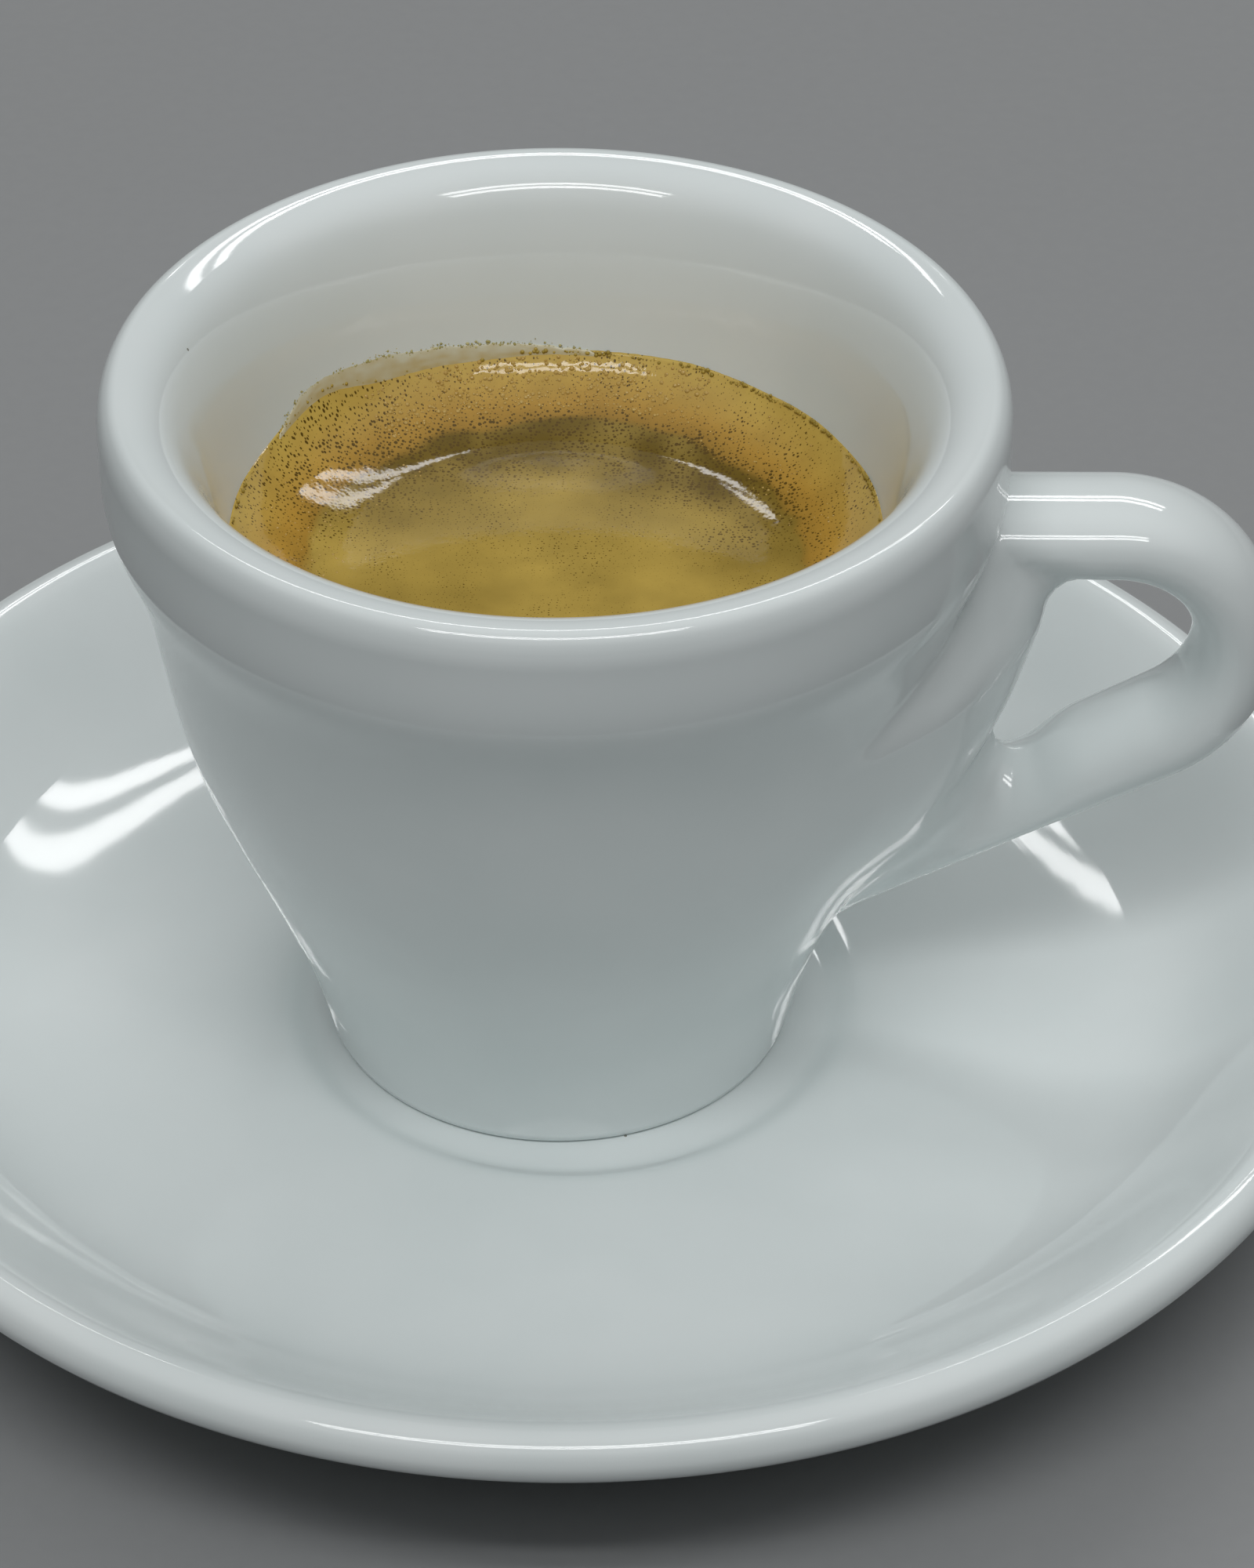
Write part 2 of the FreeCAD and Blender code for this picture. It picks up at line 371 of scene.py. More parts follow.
# %% [markdown]
# ## Glazed porcelain
# Hotel porcelain is cast or jiggered, fired, dipped in a clear glaze and fired again.  The eye gets a
# cool milky white under a hard clear gloss.  The gloss isn't perfect: the glaze pulls into faint lumps a
# few millimetres wide, the turning tool leaves fine rings that comb the edges of bright reflections, and
# a few specks of iron burn through as pinhead dots.  All of it is in the material, as none of it changes
# an outline.

# %% Porcelain
MOTTLE = 14
SPECK_APART = 17
SPECK_SHARE = 0.007
LUMP = 5
LUMP_RELIEF = 0.012
RINGS_PER_MM = 2.2


def make_porcelain(name, ring_relief):
    """Milky white under glaze; relief = slow lumps + fine turning rings, both far below a millimetre."""
    material, tree, shader, place = new_material(name)
    mottle = add(tree, "TexNoise", {"Vector": place}, {"Scale": per_mm(MOTTLE), "Detail": 2.0})
    white = add(tree, "ValToRGB", {"Fac": mottle.outputs["Fac"]})
    white.color_ramp.elements[0].position, white.color_ramp.elements[1].position = 0.3, 0.7
    white.color_ramp.elements[0].color = colour("#E1E9E9")
    white.color_ramp.elements[1].color = colour("#E6EDED")
    speck_at = add(tree, "TexVoronoi", {"Vector": place}, {"Scale": per_mm(SPECK_APART)})
    speck = add(tree, "Math", inputs={1: SPECK_SHARE}, links={0: speck_at.outputs["Distance"]},
                operation="LESS_THAN")
    speck_mix = add(tree, "Mix", data_type="RGBA", inputs={"B": colour("#8E8E84")},
                    links={"Factor": speck.outputs[0], "A": white.outputs["Color"]})
    tree.links.new(speck_mix.outputs["Result"], shader.inputs["Base Color"])

    lumps = add(tree, "TexNoise", {"Vector": place}, {"Scale": per_mm(LUMP), "Detail": 1.0})
    along = add(tree, "Attribute", attribute_name="turned")
    rings_at = add(tree, "VectorMath", {0: along.outputs["Vector"]}, {1: (1.2, 1.2, RINGS_PER_MM)},
                   operation="MULTIPLY")
    rings = add(tree, "TexNoise", {"Vector": rings_at.outputs[0]}, {"Scale": 1.0, "Detail": 3.0})
    lump_bump = add(tree, "Bump", {"Height": lumps.outputs["Fac"]},
                    {"Strength": 1.0, "Distance": LUMP_RELIEF * MM})
    ring_bump = add(tree, "Bump", {"Height": rings.outputs["Fac"], "Normal": lump_bump.outputs[0]},
                    {"Strength": 1.0, "Distance": ring_relief * MM})
    tree.links.new(ring_bump.outputs[0], shader.inputs["Normal"])
    shader.inputs["Roughness"].default_value = 0.06
    shader.inputs["IOR"].default_value = 1.52
    return material


cup_porcelain = make_porcelain("porcelain_cast_clear_glazed", 0.001)
saucer_porcelain = make_porcelain("porcelain_turned_clear_glazed", 0.004)

# %% [markdown]
# ## The saucer
# A jiggered plate is a true turned shape, so its outline says everything: a flat for the cup, a soft
# slope around it, a plate that slowly turns up, and a rolled rim.  The underside has a foot ring.  A
# Screw modifier could spin the outline, but worked out as an array it also tells the glaze how far along
# the outline each point lies, for the turning rings.

# %% Saucer sizes
FOOT_R = 17.8
FLAT_R = FOOT_R + 1.8
WELL_SLOPE_W = 3.0
WELL_DEPTH = 1.0
TURN_W = 13.8
TURN_RISE = 2.4
RIM_RISE = saucer_high[2] - SEAT_Z
RIM_T = 4.2
RIM_UNDER = 2.2
PLATE_T = 4.0
RING_R = 33.0
RING_W = 3.2
RING_BEVEL = 0.6
HOLLOW_Z = 2.0
SAUCER_AROUND = 420
FINE = 0.55
COARSE = 0.9


# %% Saucer
def saucer_outline():
    """From the axis on top, over the rim, to the axis underneath: (radius, height) points."""
    plate_z = SEAT_Z + WELL_DEPTH
    crest = (SAUCER_R - RIM_T / 2, SEAT_Z + RIM_RISE)
    inner = (crest[0] - RIM_T / 2, crest[1] - RIM_T / 4)
    outer = (crest[0] + RIM_T / 2, crest[1] - RIM_T / 2)
    under = (outer[0] - RIM_T * 0.4, outer[1] - RIM_UNDER)
    turn_r = SAUCER_R - TURN_W
    below_z = plate_z - PLATE_T
    ring_in, ring_out = RING_R - RING_W / 2, RING_R + RING_W / 2
    well = (FLAT_R + WELL_SLOPE_W, plate_z)
    top = [straight((1.0, SEAT_Z), (FLAT_R, SEAT_Z), 30),
           sweep([(FLAT_R, SEAT_Z), (FLAT_R + WELL_SLOPE_W / 2, SEAT_Z + WELL_DEPTH / 2), well],
                 (1, 0), (1, 0.08)),
           sweep([well, (turn_r, plate_z + TURN_RISE), inner, crest], (1, 0.08), (1, 0))]
    rim = [quarter_oval(outer, crest)[::-1], sweep([outer, under], (0, -1), (-1, -0.75))]
    below = sweep([under, (turn_r, below_z + TURN_RISE), (ring_out, below_z)], (-1, -0.75), (-1, 0))
    corners = [(ring_out, below_z), (ring_out, RING_BEVEL), (ring_out - RING_BEVEL, 0),
               (ring_in + RING_BEVEL, 0), (ring_in, RING_BEVEL), (ring_in, HOLLOW_Z), (1.0, HOLLOW_Z)]
    foot = [straight(a, b, n) for a, b, n in zip(corners, corners[1:], (8, 4, 6, 4, 6, 10))]
    return np.vstack(top), np.vstack([*rim, below, *foot, corners[-1:]])


def make_saucer():
    """Turn the outline: fine steps on top and over the rim, coarse ones underneath."""
    top, rest = saucer_outline()
    top, _ = evenly(top, FINE)
    rest, _ = evenly(rest, COARSE)
    outline = np.vstack([top, rest])
    along = np.r_[0, np.cumsum(np.linalg.norm(np.diff(outline, axis=0), axis=1))]
    body = turned(outline[:, 0], outline[:, 1], SAUCER_AROUND)[:, ::-1]
    points, faces = closed_turning(body, [(0, 0, SEAT_Z)], [(0, 0, HOLLOW_Z)])
    saucer = piece_from("saucer_porcelain_plate", points, faces, saucer_porcelain,
                        ["saucer"])
    add_turned(saucer, points, np.r_[np.repeat(along, SAUCER_AROUND), 0, along[-1]])
    return saucer


make_saucer()

# %% [markdown]
# ## The cup
# Body and handle are one piece of clay.  The handle is a loop whose roots are smeared wide onto the
# wall, so no grid carried along a path can show it.  The cup is therefore made as a field: a number at
# each point of space that says how far away the surface is, negative inside.  Outlines give flat
# fields, turning or thickening them gives solid ones, and fields can be joined with a fillet of any
# radius.  The skin is then netted out of the field.

# %% Cup sizes
FOOT_ROUND = 0.7
NARROW_Z = 8.0
NARROW = 0.3
FULL_Z = 31.0
FULL = 1.1
LIP_T = 6.1
LIP_BAND = 9.6
LIP_STEP = 0.8
LIP_DRAFT = 0.2
STEP_H = 0.9
CREST_IN = 1.5
CREST_DROP = 2.5
MOUTH_DROP = 3.9
FLOOR_T = 7.0
FLOOR_R = 12.1
FLOOR_ROUND = 6.0
STEP_SOFT = (0.55, 1.2)
BAND_SOFT = (-0.08, 0.9)
WALL_STRAIGHT = 36
MOUTH_TURN = (0.15, 0.6)
MOUTH_ROLL = (1.7, 2.75)

MOUTH = np.array([LIP_R - LIP_T, CUP_H - MOUTH_DROP])
CREST = np.array([LIP_R - CREST_IN, CUP_H])
BAND_LOW = np.array([LIP_R - LIP_DRAFT, CUP_H - LIP_BAND])
WALL_TOP = np.array([LIP_R - LIP_STEP, CUP_H - LIP_BAND - STEP_H])
print("mouth", MOUTH, "crest", CREST, "band from", BAND_LOW, "wall up to", WALL_TOP)


# %% Cup outlines
def wall_point(z, outwards=0.0):
    """A point of the straight cone from foot to lip, moved outwards."""
    return np.array([FOOT_R + (WALL_TOP[0] - FOOT_R) * z / WALL_TOP[1] + outwards, z])


def wall_inside_r(z):
    """Radius of the straight inner wall at a height."""
    return FLOOR_R + (MOUTH[0] - FLOOR_R) * (z - FLOOR_T) / (MOUTH[1] - FLOOR_T)


def outer_outline():
    """The cup as if it were solid: axis, foot, wall, band, rolled lip, and flat across its top."""
    foot = rounded((0, 0), (FOOT_R, 0), wall_point(NARROW_Z), FOOT_ROUND)
    shoulder = np.array([LIP_R, CUP_H - CREST_DROP])
    wall = sweep([foot[-1], wall_point(NARROW_Z, -NARROW), wall_point(FULL_Z, FULL),
                  WALL_TOP - STEP_SOFT, BAND_LOW + BAND_SOFT, shoulder], (0.2, 1), (0, 1))
    return np.vstack([[(0, 0)], foot[:-1], wall, quarter_oval(shoulder, CREST), [CREST], [(0, CUP_H)]])


def hollow_outline():
    """The air inside: floor, its rounding, straight wall, rolled lip, and far up above the crest."""
    floor = rounded((0, FLOOR_T), (FLOOR_R, FLOOR_T), MOUTH, FLOOR_ROUND)
    above = CUP_H + 10
    up_wall = unit(MOUTH - (FLOOR_R, FLOOR_T))
    lip = sweep([floor[-1], floor[-1] + up_wall * WALL_STRAIGHT, MOUTH + MOUTH_TURN, MOUTH + MOUTH_ROLL,
                 CREST], up_wall, (1, 0))
    return np.vstack([[(0, FLOOR_T)], floor[:-1], lip, [CREST], [(CREST[0], above)], [(0, above)]])


# %% [markdown]
# The handle's outline lies in the upright plane through the cup's axis: a flat top running out from
# under the lip, a round end, and a lower arm that goes straight back to the wall.  Its hole is a drop
# beside the wall.  A tube along a path would have the same look in the round end, but not at the roots,
# where the sides part to run along the wall, so the outlines feed the same field as the cup's.

# %% Handle sizes
HANDLE_RUN = 7.9
HANDLE_DROP = 0.2
HANDLE_BEND = 12.6
HANDLE_ROOT_Z = 9.6
HANDLE_W = 10.2
HANDLE_T = 6.3
HANDLE_ROUND = 3.1
HANDLE_SINK = 8.0
HOLE_GAP = 5.9
HOLE_LOW_ROUND = 1.7
HOLE_LOW_DROP = 0.35
HOLE_TOP_ROUND = 3.0


# %% Handle outlines
def crossing(a, b, c, d):
    """Where the lines a-b and c-d meet: a + u s, with s = (gap x w) / (u x w)."""
    u, w, gap = np.subtract(b, a), np.subtract(d, c), np.subtract(c, a)
    s = (gap[0] * w[1] - gap[1] * w[0]) / (u[0] * w[1] - u[1] * w[0])
    return np.array(a) + u * s


def handle_outlines():
    """The loop's outer outline, sunk into the wall, and the outline of its hole."""
    top_z = BAND_LOW[1] - HANDLE_DROP
    centre = np.array([LIP_R + HANDLE_RUN, top_z - HANDLE_BEND])
    root = wall_point(HANDLE_ROOT_Z, -NARROW)
    to_root = root - centre
    low = math.atan2(to_root[1], to_root[0]) + math.acos(HANDLE_BEND / np.linalg.norm(to_root))
    leave = centre + HANDLE_BEND * np.array([math.cos(low), math.sin(low)])
    arm = unit(root - leave)
    outer = np.vstack([[(WALL_TOP[0] - HANDLE_SINK, top_z)],
                       bow(centre, HANDLE_BEND, math.pi / 2, low, 120), [leave],
                       [root + arm * HANDLE_SINK]])
    inside = HANDLE_BEND - HANDLE_T
    hole_top = centre + (0, inside)
    hole_low = centre + inside * np.array([math.cos(low), math.sin(low)])
    near, far = wall_point(FULL_Z, FULL + HOLE_GAP), wall_point(WALL_TOP[1], HOLE_GAP)
    corner_top = crossing(near, far, hole_top, hole_top + (1, 0))
    corner_low = crossing(near, far, hole_low, hole_low + arm) - (0, HOLE_LOW_DROP)
    hole = np.vstack([rounded(hole_top, corner_top, corner_low, HOLE_TOP_ROUND),
                      rounded(corner_top, corner_low, hole_low, HOLE_LOW_ROUND),
                      bow(centre, inside, low, math.pi / 2, 80)])
    return outer, hole


# %% [markdown]
# ### From outlines to fields
# The distance to an outline could be worked out anew for each point in space, but there are millions of
# them.  It is worked out once on a fine table, and the points read it with a smooth cubic, so that
# slopes, and with them the highlights, stay smooth.


# %% Distance tables
class Table:
    """Signed distances to a closed outline on a square lattice, negative inside."""

    def __init__(self, outline, low, high, step=0.25):
        """Lay the lattice from low to high and fill it column by column; sides of no length are left out."""
        self.low, self.step = np.array(low, float), step
        self.shape = (np.ceil((np.array(high) - low) / step) + 1).astype(int)
        xs = self.low[0] + step * np.arange(self.shape[0])
        ys = self.low[1] + step * np.arange(self.shape[1])
        a = outline
        b = np.roll(outline, -1, axis=0)
        keep = np.linalg.norm(b - a, axis=1) > 1e-9
        a, b = a[keep], b[keep]
        self.values = np.stack([self.column(x, ys, a, b) for x in xs])

    def column(self, x, ys, a, b):
        """Distances along one column: nearest point of each side, signed by crossings to the right."""
        side = b - a
        px, py = x - a[:, 0], ys[:, None] - a[:, 1]
        t = ((px * side[:, 0] + py * side[:, 1]) / (side ** 2).sum(1)).clip(0, 1)
        away = np.hypot(px - t * side[:, 0], py - t * side[:, 1]).min(1)
        over = (a[:, 1] > ys[:, None]) != (b[:, 1] > ys[:, None])
        rise = np.where(np.abs(side[:, 1]) > 1e-12, side[:, 1], 1)
        crossed = over & (px < side[:, 0] * py / rise)
        return np.where(crossed.sum(1) % 2, -away, away)

    def __call__(self, x, y):
        """Catmull-Rom cubic through the four nearest table values each way."""
        gx = ((x - self.low[0]) / self.step).clip(1, self.shape[0] - 2)
        gy = ((y - self.low[1]) / self.step).clip(1, self.shape[1] - 2)
        ix = np.floor(gx).astype(int).clip(1, self.shape[0] - 3)
        iy = np.floor(gy).astype(int).clip(1, self.shape[1] - 3)
        wx, wy = cubic_weights(gx - ix), cubic_weights(gy - iy)
        return sum(wx[i] * sum(wy[j] * self.values[ix + i - 1, iy + j - 1] for j in range(4))
                   for i in range(4))


def cubic_weights(t):
    """Catmull-Rom weights of the values at -1, 0, 1 and 2 for a place t between 0 and 1."""
    return (t * (-0.5 + t * (1 - 0.5 * t)), 1 + t * t * (1.5 * t - 2.5),
            t * (0.5 + t * (2 - 1.5 * t)), t * t * (0.5 * t - 0.5))


TABLE_LOW, TABLE_HIGH = -3, CUP_H + 3
loop_outline, hole_outline = handle_outlines()
outer_table = Table(outer_outline(), (-1, TABLE_LOW), (58, TABLE_HIGH))
hollow_table = Table(hollow_outline(), (-1, TABLE_LOW), (58, TABLE_HIGH))
loop_table = Table(loop_outline, (-36, TABLE_LOW), (57, TABLE_HIGH))
hole_table = Table(hole_outline, (-36, TABLE_LOW), (57, TABLE_HIGH))
print("distance tables", outer_table.shape, loop_table.shape)


# %% Joining fields
def rounded_and(a, b, radius):
    """What is inside both, with their common edge rounded: distance to the corner of two sunk sides."""
    return (np.minimum(np.maximum(a, b), -radius)
            + np.hypot(np.maximum(a + radius, 0), np.maximum(b + radius, 0)))


def filleted_or(a, b, radius):
    """What is inside either, with a hollow fillet between them: the same on the outside."""
    return -rounded_and(-a, -b, radius)


def ease(x, low, high):
    """0 below low, 1 above high, and the smooth cubic 3t^2 - 2t^3 between."""
    t = ((x - low) / (high - low)).clip(0, 1)
    return t * t * (3 - 2 * t)


# %% Cup field
FLARE_LOW = 1.0
FLARE_WIDE = 15.0
FLARE_SUNK = 0.7
FLARE_EDGE = 0.5
FLARE_GROWS = (7, 33)
FLARE_FADES = (37, 47)
HOLE_SOFT = 5.0
HOLE_SOFT_FROM = (30, 39)
FAR = 40.0


def flare(z):
    """Radius of the fillet at the handle's root: wide beside the hole, small at foot and lip."""
    return FLARE_LOW + (FLARE_WIDE - FLARE_LOW) * ease(z, *FLARE_GROWS) * (1 - ease(z, *FLARE_FADES))


def cup_field(p):
    """Solid cup and oval loop joined by a cove that sinks into the wall, less the hole and the air."""
    x, y, z = p[..., 0], p[..., 1], p[..., 2]
    r = np.hypot(x, y)
    across = (np.abs(y) - HANDLE_W / 2) * HANDLE_T / HANDLE_W
    loop = np.where(x > 0, rounded_and(loop_table(x, z), across, HANDLE_ROUND), FAR)
    body = outer_table(r, z)
    cove = filleted_or(body + FLARE_SUNK, loop, flare(z))
    joined = filleted_or(body, cove, FLARE_EDGE)
    hole = -np.where(x > 0, hole_table(x, z), FAR)
    pierced = rounded_and(joined, hole, HANDLE_ROUND + HOLE_SOFT * (1 - ease(x, *HOLE_SOFT_FROM)))
    return np.maximum(pierced, -hollow_table(r, z))


# %% [markdown]
# ### Netting the skin
# Space round the axis is cut into small wedge-shaped cells, closer together near the lip, so that the
# net runs in true rings wherever the cup is round.  Metaballs and remeshing would do this with cubes,
# and their steps would show as ripples in the lip's bright line.  A cell whose corners aren't all on one
# side of the surface gets one point, and every edge that pierces the surface joins the four cells around
# it.  The points are then slid onto the surface along the field's slope, and the same slope gives exact
# normals, so the net is as smooth as the field.


# %% Net
def slope(field, p, step=0.12):
    """The field's gradient by central differences."""
    offsets = np.eye(3) * step
    return np.stack([(field(p + o) - field(p - o)) / (2 * step) for o in offsets], -1)


def net(field, around, radii, heights):
    """Surface nets on a round lattice: one point to each cell the surface crosses, the mean of where it
    cuts the cell's edges, and a quad across each pierced edge; angles wrap round, the axis is capped."""
    r, z = np.meshgrid(radii, heights, indexing="ij")
    value = np.stack([field(np.stack([r * math.cos(a), r * math.sin(a), z], -1))
                      for a in np.arange(around) * TAU / around])
    value = np.concatenate([value, value[:1]])
    size = np.array(value.shape) - 1
    total, count = np.zeros((*size, 3)), np.zeros(size)
    pierced = []
    for axis in range(3):
        u, w = [i for i in range(3) if i != axis]
        first = np.take(value, range(size[axis]), axis)
        last = np.take(value, range(1, size[axis] + 1), axis)
        cut = (first < 0) != (last < 0)
        where = np.divide(first, first - last, out=np.zeros_like(first), where=cut)
        for du in (0, 1):
            for dw in (0, 1):
                part = [slice(None)] * 3
                part[u], part[w] = slice(du, size[u] + du), slice(dw, size[w] + dw)
                c, t = cut[tuple(part)], where[tuple(part)]
                count += c
                total[..., axis] += np.where(c, t, 0)
                total[..., u] += np.where(c, du, 0)
                total[..., w] += np.where(c, dw, 0)
        pierced.append(np.argwhere(cut))
    busy = count > 0
    number = np.full(size, -1)
    number[busy] = np.arange(busy.sum())
    at = np.argwhere(busy) + total[busy] / count[busy][:, None]
    angle = at[:, 0] * TAU / around
    r = np.interp(at[:, 1], range(len(radii)), radii)
    z = np.interp(at[:, 2], range(len(heights)), heights)
    points = np.stack([r * np.cos(angle), r * np.sin(angle), z], -1)
    faces = []
    for axis, edges in enumerate(pierced):
        u, w = (axis + 1) % 3, (axis + 2) % 3
        edges = edges[edges[:, 0] < around]
        for side in {u, w} - {0}:
            edges = edges[(edges[:, side] > 0) & (edges[:, side] < size[side])]
        corners = []
        for du, dw in ((1, 1), (0, 1), (0, 0), (1, 0)):
            cell = edges.copy()
            cell[:, u] -= du
            cell[:, w] -= dw
            cell[:, 0] %= around
            corners.append(number[tuple(cell.T)])
        quad = np.stack(corners, -1)
        leaving = value[tuple(edges.T)] < 0
        faces.append(np.where(leaving[:, None], quad[:, ::-1], quad))
    faces = np.vstack(faces).tolist()
    for cap, level in enumerate(np.flatnonzero(busy[0, 0])):
        ring = number[:, 0, level].tolist()
        faces.append(ring if cap else ring[::-1])
    return points, faces


def onto(field, p, longest, rounds=5):
    """Slide points onto the surface: back by the field's value along its slope, in steps with a limit."""
    for _ in range(rounds):
        g = slope(field, p)
        step = g * (field(p) / (g ** 2).sum(-1).clip(0.2))[:, None]
        size = np.linalg.norm(step, axis=1)[:, None].clip(1e-9)
        p = p - step * np.minimum(1, longest / size)
    return p


# %% Cup
CUP_AROUND = 336
CUP_CELL = 0.72
LIP_CELL = 0.44
AXIS_GAP = 0.3
LATTICE_LOW = -0.93


def spaced(low, fine_from, fine_to, high):
    """Lattice places from low to high, close together between two of them."""
    return np.r_[np.arange(low, fine_from, CUP_CELL), np.arange(fine_from, fine_to, LIP_CELL),
                 np.arange(fine_to, high + CUP_CELL, CUP_CELL)]


def make_cup():
    """Net the cup's field, slide the net onto it and give it the field's own normals."""
    reach = LIP_R + HANDLE_RUN + HANDLE_BEND
    radii = spaced(AXIS_GAP, MOUTH[0] - 0.5, LIP_R + 0.6, reach + 1)
    heights = spaced(LATTICE_LOW, CUP_H - LIP_BAND - 2, CUP_H + 0.8, CUP_H + 1)
    points, faces = net(cup_field, CUP_AROUND, radii, heights)
    points = onto(cup_field, points, 0.25 * LIP_CELL)
    normals = slope(cup_field, points)
    normals /= np.linalg.norm(normals, axis=1)[:, None].clip(1e-9)
    cup = piece_from("cup_porcelain_body", points + CUP_AT, faces, cup_porcelain,
                     ["cup"])
    add_turned(cup, points, points[:, 2])
    cup.data.normals_split_custom_set_from_vertices(normals.tolist())
    print("cup: furthest from its field, mm", float(np.abs(cup_field(points)).max()))
    return cup


make_cup()

# %% [markdown]
# ## The drink
# Under its crema the espresso is never seen, so the drink is one closed solid from the cup's floor up
# to the foam, reaching a little into the wall so that no gap shows.  A flat disc would look poured from
# plastic: the foam is flat in the middle, rises in a low bank, and climbs steeply at the wall, where it
# clings.  Its height is a formula of radius and angle, so the bubbles can be set on it exactly.

# %% Drink sizes
LEVEL = CUP_H - 17.0
FLAT_FOAM_R = 14.3
RAMP = 0.27
RAMP_SHARE = 0.42
INTO_WALL = 0.25
EDGE_Z = 43.65 / 57.0 * CUP_H
SPLASH_AT = math.radians(138)
SPLASH_SPAN = math.radians(11)
SPLASH_H = 1.25
DRINK_AROUND = 600
FOAM_RINGS = 118
print("foam level", LEVEL, "edge", round(EDGE_Z, 2), "mm above the cup's foot")


# %% Noise in millimetres
def lumps(x, y, size, seed):
    """Smooth random lumps from -1 to 1: random values on a square lattice, blended by the smooth cubic."""
    values = np.random.default_rng(seed).uniform(-1, 1, (256, 256))
    gx, gy = x / size + 101.3, y / size + 57.7
    ix, iy = np.floor(gx).astype(int), np.floor(gy).astype(int)
    tx, ty = ease(gx - ix, 0, 1), ease(gy - iy, 0, 1)
    ix, iy = ix % 255, iy % 255
    low = values[ix, iy] * (1 - tx) + values[ix + 1, iy] * tx
    high = values[ix, iy + 1] * (1 - tx) + values[ix + 1, iy + 1] * tx
    return low * (1 - ty) + high * ty


# %% Foam surface
def foam_edge(angle):
    """Height of the foam's edge on the wall: level, with one splash and small waves."""
    turn = (angle - SPLASH_AT + math.pi) % TAU - math.pi
    wave = lumps(12 * np.cos(angle), 12 * np.sin(angle), 2.2, 5)
    return EDGE_Z + SPLASH_H * np.exp(-(turn / SPLASH_SPAN) ** 2) + 0.12 * wave


def foam_height(r, angle):
    """Flat, then a bank of one slope eased in, plus the fifth power of the way to the wall, and ripples."""
    edge = foam_edge(angle)
    wide = wall_inside_r(edge) - FLAT_FOAM_R
    s = ((r - FLAT_FOAM_R) / wide).clip(0)
    t = (s / RAMP_SHARE).clip(0, 1)
    bank = RAMP * wide * (RAMP_SHARE * (t ** 3 - t ** 4 / 2) + (s - RAMP_SHARE).clip(0))
    whole = RAMP * wide * (1 - RAMP_SHARE / 2)
    x, y = r * np.cos(angle), r * np.sin(angle)
    fine = 0.0015 * lumps(x, y, 0.5, 1) + 0.002 * lumps(x, y, 1.7, 2) + 0.008 * lumps(x, y, 7, 3)
    froth = 0.016 * lumps(x, y, 0.42, 4) * ease(s, 0.45, 0.8) * ease(y, 8, 18)
    return LEVEL + bank + (edge - LEVEL - whole) * s ** 5 + fine * (1 + 2 * s) + froth


# %% [markdown]
# ## Crema
# Crema is a foam of bubbles too small to see, coloured by oils.  Fresh foam is ochre where it hangs on
# the wall, and olive brown where it thins out in the middle, dark near the far edge of that middle.
# Bigger bubbles have burst into pores there.  It is wet, so it shines, and the bubbles make the edges of
# that shine ragged.  The colours follow the drink's own shape, so they are numbers stored on its points.

# %% Crema
# Most of the foam's bubbles are under 0.1 mm across, too fine to show, so they are drawn three times as
# coarse: as the pores' cells and as the relief.
PORE_APART = 0.31
BUBBLE_APART = 0.3
BUBBLE_RELIEF = 0.0018
FOAM_CLOUD = 3.2


